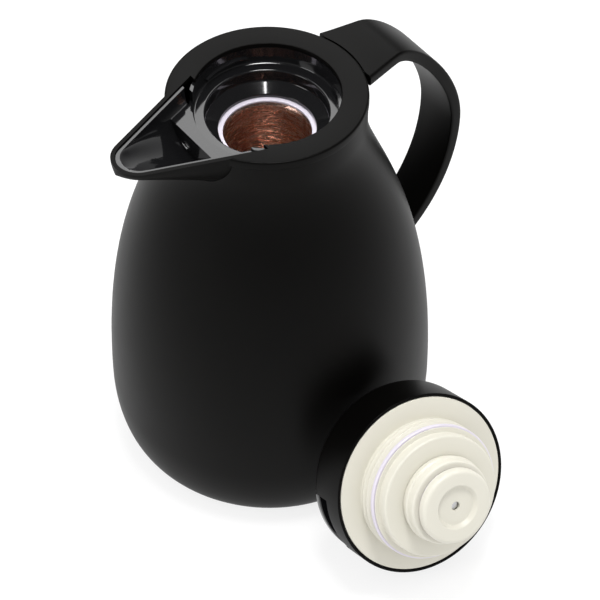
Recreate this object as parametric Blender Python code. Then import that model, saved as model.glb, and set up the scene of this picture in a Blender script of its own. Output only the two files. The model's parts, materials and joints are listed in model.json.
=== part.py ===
"""Insulated pouring jug with a glass liner and a press-to-pour lid that leans on the jug.

Metres, +Z up. The origin is on the jug's axis, on the surface it stands on. The spout points
along -X and the handle along +X. The lid is off, and leans on the belly of the jug near -Y.
"""

import math

import bmesh
import bpy
from mathutils import Matrix, Vector

# Clearances.
FIT = 0.0003  # between faces that touch on the real jug
PIN_PLAY = 0.00006  # round a turning pin

# Outer shell: a bell shape from the foot over the belly to the neck.
HEIGHT = 0.2023  # top of the rim
FOOT_RADIUS = 0.0615
FOOT_PULL = 0.0075  # how far the foot runs out flat before it turns up
BELLY_RADIUS = 0.0747
BELLY_HEIGHT = 0.035
BELLY_DROP = 0.021  # how far the belly runs straight down before it turns in
SHOULDER_PULL = 0.107
NECK_RADIUS = 0.0436
NECK_DROP = 0.0143  # end of the bell below the rim
NECK_PULL = 0.030
SHELL_WALL = 0.0022

# Rim ring with the spout hull.
RIM_RADIUS = 0.0440
RIM_BORE = 0.0322
RIM_THICK = 0.0020
RIM_EDGE = 0.0040
RIM_SPIGOT = 0.016  # length of the ring that sits inside the neck
SPIGOT_WALL = 0.0022
SPOUT_TIP = 0.0783
SPOUT_TIP_RADIUS = 0.0120
SPOUT_HALF_WIDTH = 0.0226
SPOUT_ROOT = 0.0386  # distance from the axis at which the half width is taken
SPOUT_DEPTH = 0.023
SPOUT_TIP_DEPTH = 0.0042
SPOUT_WALL = 0.0019
CHANNEL_WALL = 0.0013

# Funnel insert.
FUNNEL_WALL = 0.0015
LEDGE_DEPTH = 0.0110
LEDGE_RADIUS = 0.0270
THROAT_DEPTH = 0.0170
MOUTH_RADIUS = 0.0214
RAMP_REACH = 0.0012
RAMP_HEIGHT = 0.0022
RAMP_LIFT = 0.0035  # foot of a ramp above the ledge
RAMP_STARTS = (70, 310)  # degrees round the funnel
CHANNEL_DROP = 0.0008  # edge of the lining below the rim
WEIR_DEPTH = 0.0085  # where the channel opens through the funnel wall, below the rim

# Glass liner.
LIP_DEPTH = 0.0220  # top of the seal below the rim
LIP_RADIUS = 0.0194
SEAL_THICK = 0.0012
SEAL_SKIRT = 0.0080
GLASS_WALL = 0.0015
VACUUM_GAP = 0.0045
FLASK_RADIUS = 0.0560
FLASK_NECK_RADIUS = 0.0242
FLASK_BASE_HEIGHT = 0.0140
FLASK_BASE_RISE = 0.0240
FLASK_SHOULDER_RISE = 0.0560
FLASK_NECK_LENGTH = 0.0280
PIP_RADIUS = 0.0030
PIP_LENGTH = 0.0060
SPACERS = 3
SPACER_SIDE = 0.0080
SPACER_HEIGHT = 0.0600

# Base.
BASE_FLANGE = 0.0020
BASE_THREAD_RADIUS = 0.0600
BASE_THREAD_WALL = 0.0020
BASE_THREAD_LENGTH = 0.0100
BASE_FLOOR = 0.0022
BASE_RECESS = 0.0035
BASE_RING_WIDTH = 0.0070
GRIP_WIDTH = 0.0120
PAD_RADIUS = 0.0340
PAD_HOLE = 0.0070
COLLAR_HEIGHT = 0.0120  # the shoulder ring

# Handle.
HANDLE_REACH = 0.1010
HANDLE_REACH_HEIGHT = 0.1420
HANDLE_RISE = 0.0006
HANDLE_ROOT_WIDTH = 0.0370
HANDLE_WIDTH = 0.0235
HANDLE_FOOT_WIDTH = 0.0220
HANDLE_THICK = 0.0056
HANDLE_FOOT_HEIGHT = 0.0830
TONGUE_WIDTH = 0.0180
TONGUE_THICK = 0.0030
TONGUE_DROP = 0.0060
TONGUE_LENGTH = 0.0066
BOSS_RADIUS = 0.0045
BOSS_LENGTH = 0.0040
SCREW_RADIUS = 0.0015
SCREW_HEAD_RADIUS = 0.0030
SCREW_HEAD_THICK = 0.0016
SCREW_GRIP = 0.0070
WASHER_THICK = 0.0008

# Lid, in its own frame: underside plane at z = 0, top up, lever end towards +X.
LID_RADIUS = 0.0424
LID_HEIGHT = 0.0230
LID_WALL = 0.0013
LID_ROOF = 0.0018
LID_CORNER = 0.0025
LID_TILT = math.radians(25.5)
LID_FACING = math.radians(-95.5)
LID_BEARING = math.radians(-89.0)
LID_TURN = math.radians(194.0)
LID_STANDOFF = 0.0008
WELL_FLOOR = 0.0112
WELL_WALL = 0.0014
WELL_HINGE_HALF = 0.0110
WELL_END_HALF = 0.0165
WELL_START = -0.0330
LEVER_THICK = 0.0034
LEVER_GAP = 0.0006
HINGE_X = -0.0270
HINGE_DROP = 0.0042  # hinge axis below the lid's top
PIN_RADIUS = 0.0012
KNUCKLE_RADIUS = 0.0030
DISC_THICK = 0.0018
BOSS_OUTER = 0.0306
BOSS_THREAD = 0.0011
BOSS_WALL = 0.0020
BOSS_DEPTH = 0.0175
BOSS_STEP_RADIUS = 0.0284
BOSS_STEP = 0.0050
SEAL_GROOVE = 0.0012
SEAL_BAND = 0.0028
PORT_WIDTH = 0.0240
PORT_HEIGHT = 0.0080
HOUSING_RADIUS = 0.0195
HOUSING_WALL = 0.0020
HOUSING_END = 0.0262
HOUSING_NECK = 0.0137
SEAT_RADIUS = 0.0125
VALVE_RADIUS = 0.0172
VALVE_THICK = 0.0046
VALVE_RECESS_RADIUS = 0.0090
VALVE_RECESS = 0.0020
VALVE_SEAL_THICK = 0.0008
VENT_RADIUS = 0.0020
STEM_RADIUS = 0.0022
STEM_HEAD_RADIUS = 0.0050
STEM_HEAD_THICK = 0.0016
POCKET_RADIUS = 0.0066
POCKET_FLOOR = 0.0034
SPRING_RADIUS = 0.0038
SPRING_WIRE = 0.0006
SPRING_TURNS = 4
SPRING_STEPS = 8

ROUND = 44  # steps of a large turned piece
SMALL_ROUND = 28
TINY_ROUND = 14
BEZIER_STEPS = 6
BELL_STEPS = 11
SPOUT_STEPS = 12
ELLIPSE_STEPS = 6


def clear_scene():
    for obj in list(bpy.data.objects):
        bpy.data.objects.remove(obj, do_unlink=True)


def material(name, colour, roughness, metallic=0.0):
    made = bpy.data.materials.new(name)
    made.use_nodes = True
    shader = made.node_tree.nodes["Principled BSDF"]
    shader.inputs["Base Color"].default_value = (*colour, 1.0)
    shader.inputs["Roughness"].default_value = roughness
    shader.inputs["Metallic"].default_value = metallic
    return made


def add_object(name, bm, finish=None):
    bmesh.ops.recalc_face_normals(bm, faces=bm.faces)
    mesh = bpy.data.meshes.new(name)
    bm.to_mesh(mesh)
    bm.free()
    mesh.shade_smooth()
    mesh.set_sharp_from_angle(angle=math.radians(35))
    if finish:
        mesh.materials.append(finish)
    obj = bpy.data.objects.new(name, mesh)
    bpy.context.scene.collection.objects.link(obj)
    return obj


def turned(name, profile, finish=None, steps=ROUND):
    """A profile of (radius, z) points spun round Z; it closes itself unless both ends are on the axis."""
    bm = bmesh.new()
    verts = [bm.verts.new((radius, 0.0, z)) for radius, z in profile]
    on_axis = profile[0][0] == 0.0 and profile[-1][0] == 0.0
    pairs = list(zip(verts, verts[1:]))
    if not on_axis:
        pairs.append((verts[-1], verts[0]))
    edges = [bm.edges.new(pair) for pair in pairs]
    bmesh.ops.spin(bm, geom=verts + edges, cent=(0, 0, 0), axis=(0, 0, 1),
                   angle=math.tau, steps=steps, use_duplicate=False)
    bmesh.ops.remove_doubles(bm, verts=bm.verts, dist=1e-7)
    return add_object(name, bm, finish)


def prism(name, outline, low, high, finish=None):
    """An outline of (x, y) points raised from low to high."""
    bm = bmesh.new()
    base = bm.faces.new([bm.verts.new((x, y, low)) for x, y in outline])
    raised = bmesh.ops.extrude_face_region(bm, geom=[base])["geom"]
    bmesh.ops.translate(bm, vec=(0, 0, high - low),
                        verts=[item for item in raised if isinstance(item, bmesh.types.BMVert)])
    return add_object(name, bm, finish)


def box(name, low, high, finish=None):
    return prism(name, [(low[0], low[1]), (high[0], low[1]), (high[0], high[1]), (low[0], high[1])],
                 low[2], high[2], finish)


def rod(name, start, end, radius, finish=None, steps=TINY_ROUND):
    """A round bar between two points."""
    start, end = Vector(start), Vector(end)
    along = end - start
    bm = bmesh.new()
    turn = along.to_track_quat("Z", "Y").to_matrix().to_4x4()
    bmesh.ops.create_cone(bm, cap_ends=True, segments=steps, radius1=radius, radius2=radius,
                          depth=along.length, matrix=Matrix.Translation((start + end) / 2) @ turn)
    return add_object(name, bm, finish)


def loft(name, rings, finish=None):
    """Rings with the same number of points, bridged in turn, with both ends filled."""
    bm = bmesh.new()
    loops = [[bm.verts.new(point) for point in ring] for ring in rings]
    for first, second in zip(loops, loops[1:]):
        count = len(first)
        for i in range(count):
            j = (i + 1) % count
            bm.faces.new((first[i], first[j], second[j], second[i]))
    bm.faces.new(loops[0])
    bm.faces.new(loops[-1])
    return add_object(name, bm, finish)


def combine(obj, other, operation):
    """Applies one Boolean to obj and removes the other solid."""
    change = obj.modifiers.new(operation.lower(), "BOOLEAN")
    change.operation = operation
    change.object = other
    change.solver = "EXACT"
    bpy.context.view_layer.update()
    graph = bpy.context.evaluated_depsgraph_get()
    made = bpy.data.meshes.new_from_object(obj.evaluated_get(graph))
    obj.modifiers.clear()
    obj.data = made
    made.shade_smooth()
    made.set_sharp_from_angle(angle=math.radians(35))
    bpy.data.objects.remove(other, do_unlink=True)


def join(obj, *others):
    for other in others:
        combine(obj, other, "UNION")


def cut(obj, *others):
    for other in others:
        combine(obj, other, "DIFFERENCE")


def bezier(start, start_pull, end_pull, end, steps=BEZIER_STEPS):
    """Points of a cubic curve from start to end, both included."""
    points = []
    for step in range(steps + 1):
        t = step / steps
        weights = ((1 - t) ** 3, 3 * t * (1 - t) ** 2, 3 * t * t * (1 - t), t ** 3)
        corners = (start, start_pull, end_pull, end)
        points.append(tuple(sum(w * p[axis] for w, p in zip(weights, corners)) for axis in range(2)))
    return points


def offset(points, distance):
    """A curve of (radius, z) points that runs upwards, moved inwards by distance along its normals."""
    moved = []
    for i, (radius, z) in enumerate(points):
        before = points[max(i - 1, 0)]
        after = points[min(i + 1, len(points) - 1)]
        along = Vector((after[0] - before[0], after[1] - before[1])).normalized()
        moved.append((radius - along.y * distance, z + along.x * distance))
    return moved


def radius_at(points, height):
    """Radius of an upward curve at a height, by straight lines between its points."""
    for (r0, z0), (r1, z1) in zip(points, points[1:]):
        if z0 <= height <= z1:
            return r0 + (r1 - r0) * (height - z0) / (z1 - z0)
    return points[-1][0] if height > points[-1][1] else points[0][0]


def above(points, height):
    """The part of an upward curve above a height, with a point at that height."""
    return [(radius_at(points, height), height)] + [point for point in points if point[1] > height + 1e-5]


# Heights and outlines that follow from the sizes above.
NECK_TOP = HEIGHT - RIM_EDGE - FIT
BELL_TOP = HEIGHT - NECK_DROP
LIP_TOP = HEIGHT - LIP_DEPTH
GLASS_TOP = LIP_TOP - SEAL_THICK - FIT
SHELL_FOOT = BASE_FLANGE + FIT
BASE_TOP = BASE_RECESS + BASE_FLOOR

OUTLINE = bezier((FOOT_RADIUS, 0.0), (FOOT_RADIUS + FOOT_PULL, 0.0),
                 (BELLY_RADIUS, BELLY_HEIGHT - BELLY_DROP), (BELLY_RADIUS, BELLY_HEIGHT))
OUTLINE += bezier((BELLY_RADIUS, BELLY_HEIGHT), (BELLY_RADIUS, BELLY_HEIGHT + SHOULDER_PULL),
                  (NECK_RADIUS, BELL_TOP - NECK_PULL), (NECK_RADIUS, BELL_TOP), BELL_STEPS)[1:]
SHELL_OUTSIDE = above(OUTLINE, SHELL_FOOT)
SHELL_INSIDE = above(offset(OUTLINE, SHELL_WALL), SHELL_FOOT + SHELL_WALL)


def spout_half_width(distance, inset):
    """Half width of the spout at a distance from the axis: straight sides that meet a round tip."""
    centre = SPOUT_TIP - SPOUT_TIP_RADIUS
    tip = SPOUT_TIP_RADIUS - inset
    slope = (SPOUT_HALF_WIDTH - SPOUT_TIP_RADIUS) / (centre - SPOUT_ROOT)
    lean = math.atan(slope)
    touch = centre + SPOUT_TIP_RADIUS * math.sin(lean)
    if distance < touch:
        side = SPOUT_TIP_RADIUS * math.cos(lean) + (touch - distance) * slope
        return side - inset / math.cos(lean)
    return math.sqrt(max(tip * tip - (distance - centre) ** 2, 0.0))


def spout_solid(name, inset, top, finish=None, root=0.0300):
    """The boat-shaped spout, smaller by inset all round, from inside the neck to its tip."""
    reach = SPOUT_TIP - inset
    edge = min(top, HEIGHT)
    stations = [root, SPOUT_ROOT, 0.046, 0.053, 0.060]
    centre = SPOUT_TIP - SPOUT_TIP_RADIUS
    tip = SPOUT_TIP_RADIUS - inset
    stations += [centre + tip * math.sin(math.radians(a)) for a in (0, 25, 45, 62, 74, 83)]
    rings = []
    for distance in stations:
        half = spout_half_width(distance, inset)
        share = min(max((distance - SPOUT_ROOT) / (reach - SPOUT_ROOT), 0.0), 1.0)
        depth = SPOUT_TIP_DEPTH + (SPOUT_DEPTH - SPOUT_TIP_DEPTH) * (1 - share) ** 1.15 - inset
        ring = [(-distance, half, top), (-distance, -half, top)] if top > HEIGHT else []
        for step in range(SPOUT_STEPS + 1):
            angle = math.pi * step / SPOUT_STEPS
            level = edge - (depth - HEIGHT + edge) * abs(math.sin(angle)) ** 0.8
            ring.append((-distance, -half * math.cos(angle), level))
        rings.append(ring)
    return loft(name, rings, finish)


def tongue_slot():
    """Room for the handle's tongue through the neck and the rim's spigot."""
    side = TONGUE_WIDTH / 2 + FIT
    top = HEIGHT - TONGUE_DROP + FIT
    return box("tongue_slot", (0.030, -side, top - TONGUE_THICK - 2 * FIT), (0.060, side, top))


def build_shell(finish):
    """Bell-shaped outer shell with an inner collar at the foot for the base's thread."""
    collar = BASE_THREAD_RADIUS + FIT
    collar_top = SHELL_FOOT + BASE_THREAD_LENGTH
    inside = above(SHELL_INSIDE, SHELL_FOOT + 2 * SHELL_WALL)
    profile = SHELL_OUTSIDE + [(NECK_RADIUS, NECK_TOP), (NECK_RADIUS - SHELL_WALL, NECK_TOP)]
    profile += inside[::-1]
    profile += [(collar + SHELL_WALL, SHELL_FOOT + 2 * SHELL_WALL), (collar + SHELL_WALL, collar_top),
                (collar, collar_top), (collar, SHELL_FOOT)]
    shell = turned("body_shell", profile, finish)
    cut(shell, spout_solid("spout_room", -FIT, HEIGHT + 0.005, root=0.0200))
    cut(shell, tongue_slot())
    foot = HANDLE_FOOT_HEIGHT
    cut(shell, rod("boss_hole", (0.050, 0, foot), (0.100, 0, foot), BOSS_RADIUS + FIT))
    return shell


def build_rim(finish):
    """Flat ring that closes the neck, with the spout's outer hull and a spigot inside the neck."""
    spigot = NECK_RADIUS - SHELL_WALL - FIT
    edge_inside = NECK_RADIUS - SHELL_WALL - FIT
    profile = [(RIM_BORE, HEIGHT - RIM_THICK), (RIM_BORE, HEIGHT), (RIM_RADIUS - 0.0008, HEIGHT),
               (RIM_RADIUS, HEIGHT - 0.0008), (RIM_RADIUS, HEIGHT - RIM_EDGE),
               (edge_inside, HEIGHT - RIM_EDGE), (spigot, HEIGHT - RIM_SPIGOT),
               (spigot - SPIGOT_WALL, HEIGHT - RIM_SPIGOT), (spigot - SPIGOT_WALL, HEIGHT - RIM_THICK)]
    rim = turned("rim_and_spout", profile, finish)
    join(rim, spout_solid("spout_hull", 0.0, HEIGHT, root=0.0360))
    cut(rim, spout_solid("spout_hollow", SPOUT_WALL, HEIGHT + 0.005, root=0.0200))
    below = HEIGHT - 0.060
    cut(rim, turned("rim_bore", [(0, HEIGHT - RIM_THICK), (spigot - SPIGOT_WALL, HEIGHT - RIM_THICK),
                                 (spigot - SPIGOT_WALL, below), (0, below)], steps=ROUND))
    cut(rim, tongue_slot())
    return rim


def build_funnel(finish):
    """Glossy insert: the well under the lid, its ledge and throat, and the lining of the spout."""
    top = HEIGHT - RIM_THICK - FIT
    ledge = HEIGHT - LEDGE_DEPTH
    throat = HEIGHT - THROAT_DEPTH
    bottom = LIP_TOP + FIT
    outer = RIM_BORE + FUNNEL_WALL
    profile = [(RIM_BORE, top), (RIM_BORE, ledge), (LEDGE_RADIUS, ledge), (LEDGE_RADIUS, throat),
               (MOUTH_RADIUS, bottom + 0.0016), (MOUTH_RADIUS, bottom),
               (LEDGE_RADIUS + FUNNEL_WALL, bottom), (LEDGE_RADIUS + FUNNEL_WALL, ledge - FUNNEL_WALL),
               (outer, ledge - FUNNEL_WALL), (outer, top)]
    funnel = turned("funnel_insert", profile[::-1], finish)
    gap = SPOUT_WALL + FIT
    channel = spout_solid("channel", gap, HEIGHT - CHANNEL_DROP, root=RIM_BORE - 0.006)
    cut(channel, turned("well", [(0, HEIGHT + 0.01), (RIM_BORE + FUNNEL_WALL / 2, HEIGHT + 0.01),
                                 (RIM_BORE + FUNNEL_WALL / 2, HEIGHT - 0.04), (0, HEIGHT - 0.04)]))
    join(funnel, channel)
    for start in RAMP_STARTS:
        join(funnel, lid_ramp(start, ledge + RAMP_LIFT))
    hollow = spout_solid("channel_hollow", gap + CHANNEL_WALL, HEIGHT + 0.005, root=0.0240)
    weir = HEIGHT - WEIR_DEPTH
    cut(hollow, box("weir", (-0.0375, -0.040, weir - 0.030), (0.0, 0.040, weir)))
    cut(funnel, hollow)
    return funnel


def lid_ramp(start_degrees, height):
    """One sloping rib on the funnel wall that the lid's thread turns under."""
    rings = []
    for step in range(9):
        angle = math.radians(start_degrees + 5 * step)
        z = height - 0.0002 * step
        thick = RAMP_HEIGHT * min(1.0, 0.35 + 0.2 * step)
        rings.append([(radius * math.cos(angle), radius * math.sin(angle), level)
                      for radius, level in ((RIM_BORE - RAMP_REACH, z + 0.0003),
                                            (RIM_BORE + 0.0006, z),
                                            (RIM_BORE + 0.0006, z + thick),
                                            (RIM_BORE - RAMP_REACH, z + thick - 0.0003))])
    return loft("ramp", rings)


def ellipse_arc(centre_r, centre_z, half_r, half_z, start, end, steps=ELLIPSE_STEPS):
    """Points of an ellipse from one angle in degrees to another, both included."""
    points = []
    for step in range(steps + 1):
        angle = math.radians(start + (end - start) * step / steps)
        points.append((centre_r + half_r * math.cos(angle), centre_z + half_z * math.sin(angle)))
    return points


def flask_curve(inset, neck):
    """Side of a glass flask moved in by inset, from the axis at its base to where it meets its neck."""
    base = FLASK_BASE_HEIGHT + FLASK_BASE_RISE
    shoulder = GLASS_TOP - FLASK_NECK_LENGTH - FLASK_SHOULDER_RISE
    width = FLASK_RADIUS - FLASK_NECK_RADIUS
    curve = ellipse_arc(0, base, FLASK_RADIUS - inset, FLASK_BASE_RISE - inset, -90, 0)
    curve[0] = (0.0, curve[0][1])
    centre = FLASK_NECK_RADIUS - inset
    last = math.degrees(math.acos((neck - centre) / width))
    curve += ellipse_arc(centre, shoulder, width, FLASK_SHOULDER_RISE - inset, 0, last)
    return curve


def flask_base(radius, inset):
    """Height of a flask's rounded base at a radius."""
    rise = math.sqrt(1 - (radius / (FLASK_RADIUS - inset)) ** 2)
    return FLASK_BASE_HEIGHT + FLASK_BASE_RISE - (FLASK_BASE_RISE - inset) * rise


def build_liner(glass, mica):
    """Inner and outer glass flasks with the spacers between them; the inner one carries the rolled lip."""
    bore = LIP_RADIUS
    neck_wall = bore + GLASS_WALL
    gap = GLASS_WALL + VACUUM_GAP
    lip_under = GLASS_TOP - 0.0045
    outer_neck = FLASK_NECK_RADIUS

    inner_out = flask_curve(gap, neck_wall)
    inner_in = flask_curve(gap + GLASS_WALL, bore)
    roll = ellipse_arc((bore + outer_neck) / 2, GLASS_TOP - 0.0022, (outer_neck - bore) / 2, 0.0022, 0, 180)
    profile = inner_out + [(neck_wall, lip_under), (neck_wall + 0.0008, GLASS_TOP - 0.0026),
                           (outer_neck - GLASS_WALL - 0.0004, GLASS_TOP - 0.0026),
                           (outer_neck - GLASS_WALL, lip_under), (outer_neck, lip_under)]
    profile += roll + inner_in[::-1]
    turned("liner_inner_flask", profile, glass, SMALL_ROUND)

    outer_out = flask_curve(0.0, outer_neck)
    outer_in = flask_curve(GLASS_WALL, outer_neck - GLASS_WALL)
    neck_top = lip_under - FIT
    profile = [(0.0, FLASK_BASE_HEIGHT - PIP_LENGTH),
               (PIP_RADIUS * 0.7, FLASK_BASE_HEIGHT - PIP_LENGTH * 0.85),
               (PIP_RADIUS, FLASK_BASE_HEIGHT - PIP_LENGTH * 0.3)]
    profile += [(PIP_RADIUS + GLASS_WALL, flask_base(PIP_RADIUS + GLASS_WALL, 0.0))] + outer_out[1:]
    profile += [(outer_neck, neck_top), (outer_neck - GLASS_WALL, neck_top)]
    profile += outer_in[::-1]
    turned("liner_outer_flask", profile, glass, SMALL_ROUND)

    inner_face = FLASK_RADIUS - gap + FIT
    flat = math.cos(math.pi / SMALL_ROUND)  # the glass is a polygon seen from above
    outer_face = (FLASK_RADIUS - GLASS_WALL) * flat - FIT - SPACER_SIDE ** 2 / (8 * FLASK_RADIUS)
    for index in range(SPACERS):
        spacer = box(f"liner_spacer_{index + 1}",
                     (inner_face, -SPACER_SIDE / 2, SPACER_HEIGHT - SPACER_SIDE / 2),
                     (outer_face, SPACER_SIDE / 2, SPACER_HEIGHT + SPACER_SIDE / 2), mica)
        spacer.rotation_euler.z = math.radians(30) + math.tau * index / SPACERS


def build_seals(silicone, foam):
    """Mouth seal over the glass lip, and the ring that centres the liner at the shoulder."""
    outer = LEDGE_RADIUS + FUNNEL_WALL
    skirt = FLASK_NECK_RADIUS + FIT
    profile = [(LIP_RADIUS, LIP_TOP), (outer, LIP_TOP), (outer, LIP_TOP - SEAL_SKIRT),
               (skirt, LIP_TOP - SEAL_SKIRT), (skirt, LIP_TOP - SEAL_THICK),
               (LIP_RADIUS, LIP_TOP - SEAL_THICK)]
    turned("mouth_seal", profile, silicone, SMALL_ROUND)

    shoulder = GLASS_TOP - FLASK_NECK_LENGTH - FLASK_SHOULDER_RISE
    low, high = shoulder + 0.002, shoulder + 0.002 + COLLAR_HEIGHT
    flask = flask_curve(-FIT, FLASK_NECK_RADIUS + FIT)
    profile = []
    for step in range(4):
        z = low + (high - low) * step / 3
        profile.append((radius_at(SHELL_INSIDE, z) - 2 * FIT, z))
    for step in range(4):
        z = high - (high - low) * step / 3
        profile.append((radius_at(flask[ELLIPSE_STEPS + 1:], z) + FIT, z))
    turned("shoulder_ring", profile, foam)


def build_base(finish, rubber):
    """Screwed base with two half-moon recesses beside a grip bar, its seal, and the liner's pad."""
    edge = radius_at(OUTLINE, BASE_FLANGE)
    middle = radius_at(OUTLINE, BASE_FLANGE / 2)
    inner = FOOT_RADIUS - BASE_RING_WIDTH
    thread = BASE_THREAD_RADIUS
    profile = [(0, BASE_RECESS), (inner, BASE_RECESS), (inner + 0.0005, 0), (FOOT_RADIUS, 0),
               (middle, BASE_FLANGE / 2), (edge, BASE_FLANGE), (thread, BASE_FLANGE),
               (thread, SHELL_FOOT + BASE_THREAD_LENGTH),
               (thread - BASE_THREAD_WALL, SHELL_FOOT + BASE_THREAD_LENGTH),
               (thread - BASE_THREAD_WALL, BASE_TOP), (0, BASE_TOP)]
    base = turned("base_cap", profile, finish)
    bar = inner + 0.002
    join(base, box("grip_bar", (-bar, -GRIP_WIDTH / 2, 0), (bar, GRIP_WIDTH / 2, BASE_RECESS + 0.001)))

    top = SHELL_FOOT + BASE_THREAD_LENGTH + FIT
    seal = [(thread - BASE_THREAD_WALL, top), (thread + SHELL_WALL, top),
            (thread + SHELL_WALL, top + 0.0015), (thread - BASE_THREAD_WALL, top + 0.0015)]
    turned("base_seal", seal[::-1], rubber)

    pad = [(PAD_HOLE, BASE_TOP + FIT), (PAD_RADIUS, BASE_TOP + FIT)]
    for step in range(6):
        radius = PAD_RADIUS + (PAD_HOLE - PAD_RADIUS) * step / 5
        pad.append((radius, flask_base(radius, 0.0) - 2 * FIT))
    turned("liner_pad", pad, rubber, SMALL_ROUND)


def handle_curve():
    """Centre line of the strap as (x, z) points, from the rim over its reach down to the belly."""
    top = HEIGHT - HANDLE_THICK / 2
    start = (RIM_RADIUS - 0.002, top)
    crest = (RIM_RADIUS + 0.016, top + HANDLE_RISE)
    reach = (HANDLE_REACH - HANDLE_THICK / 2, HANDLE_REACH_HEIGHT)
    foot = (radius_at(OUTLINE, HANDLE_FOOT_HEIGHT) - 0.001, HANDLE_FOOT_HEIGHT)
    curve = bezier(start, (start[0] + 0.006, top), (crest[0] - 0.005, crest[1]), crest, 3)
    drop = crest[1] - reach[1]
    crest_pull = (crest[0] + 0.012, crest[1] - 0.0005)
    curve += bezier(crest, crest_pull, (reach[0], reach[1] + 0.45 * drop), reach, 10)[1:]
    fall = reach[1] - foot[1]
    foot_pull = (foot[0] + 0.016, foot[1] + 0.013)
    curve += bezier(reach, (reach[0], reach[1] - 0.42 * fall), foot_pull, foot, 10)[1:]
    return curve


def build_handle(finish, steel):
    """Strap with a tongue through the neck at its top, and a boss screwed from inside at its foot."""
    centre = handle_curve()
    rings = []
    half_thick = HANDLE_THICK / 2
    reach_index = max(range(len(centre)), key=lambda i: centre[i][0])
    for i, (x, z) in enumerate(centre):
        before, after = centre[max(i - 1, 0)], centre[min(i + 1, len(centre) - 1)]
        along = Vector((after[0] - before[0], after[1] - before[1])).normalized()
        normal = Vector((-along.y, along.x))
        if i <= reach_index:
            share = min((x - centre[0][0]) / (0.8 * (centre[reach_index][0] - centre[0][0])), 1.0)
            width = HANDLE_ROOT_WIDTH + (HANDLE_WIDTH - HANDLE_ROOT_WIDTH) * (1.5 * share - 0.5 * share ** 3)
        else:
            share = (i - reach_index) / (len(centre) - 1 - reach_index)
            width = HANDLE_WIDTH + (HANDLE_FOOT_WIDTH - HANDLE_WIDTH) * share
        half = width / 2
        corner = 0.0012
        section = [(half - corner, half_thick), (half, half_thick - corner), (half, corner - half_thick),
                   (half - corner, -half_thick)]
        section += [(-a, b) for a, b in section[::-1]]
        rings.append([(x + normal.x * b, a, z + normal.y * b) for a, b in section])
    handle = loft("handle", rings, finish)
    foot = HANDLE_FOOT_HEIGHT
    gap = [(radius + FIT, z) for radius, z in SHELL_OUTSIDE if z < HEIGHT - 2 * RIM_EDGE]
    keep_out = [(0, gap[0][1])] + gap + [(RIM_RADIUS + FIT, HEIGHT - 1.5 * RIM_EDGE),
                                         (RIM_RADIUS + FIT, HEIGHT + 0.010), (0, HEIGHT + 0.010)]
    cut(handle, turned("body_room", keep_out, steps=ROUND))
    tongue_root = RIM_RADIUS + 0.008
    low, high = HEIGHT - TONGUE_DROP - TONGUE_THICK, HEIGHT - TONGUE_DROP
    join(handle, box("tongue", (RIM_RADIUS + 0.001, -TONGUE_WIDTH / 2, low),
                     (tongue_root, TONGUE_WIDTH / 2, HEIGHT - HANDLE_THICK / 2)))
    join(handle, box("tongue_end", (tongue_root - TONGUE_LENGTH - 0.008, -TONGUE_WIDTH / 2, low),
                     (tongue_root - 0.001, TONGUE_WIDTH / 2, high)))
    boss_end = radius_at(SHELL_INSIDE, foot) - BOSS_LENGTH / 2
    join(handle, rod("boss", (boss_end, 0, foot), (BELLY_RADIUS + 0.002, 0, foot), BOSS_RADIUS))
    cut(handle, rod("screw_hole", (boss_end - 0.001, 0, foot), (boss_end + SCREW_GRIP + FIT, 0, foot),
                    SCREW_RADIUS + FIT / 2))

    head = boss_end - WASHER_THICK - 2 * FIT
    washer = rod("handle_washer", (boss_end - FIT - WASHER_THICK, 0, foot), (boss_end - FIT, 0, foot),
                 BOSS_RADIUS + 0.0015, steel)
    middle = boss_end - FIT - WASHER_THICK / 2
    cut(washer, rod("washer_hole", (middle - 0.01, 0, foot), (middle + 0.01, 0, foot), SCREW_RADIUS + FIT))
    head_end = (head - SCREW_HEAD_THICK, 0, foot)
    screw = rod("handle_screw", head_end, (head, 0, foot), SCREW_HEAD_RADIUS, steel)
    join(screw, rod("shank", (head - 0.0005, 0, foot), (boss_end + SCREW_GRIP, 0, foot), SCREW_RADIUS))


def well_outline(inset, start, end):
    """The lever's well seen from above: it widens from the hinge to the lid's edge."""
    slope = (WELL_END_HALF - WELL_HINGE_HALF) / (LID_RADIUS - WELL_START)
    near = WELL_HINGE_HALF + (start - WELL_START) * slope - inset
    far = WELL_HINGE_HALF + (end - WELL_START) * slope - inset
    return [(start, -near), (end, -far), (end, far), (start, near)]


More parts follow.
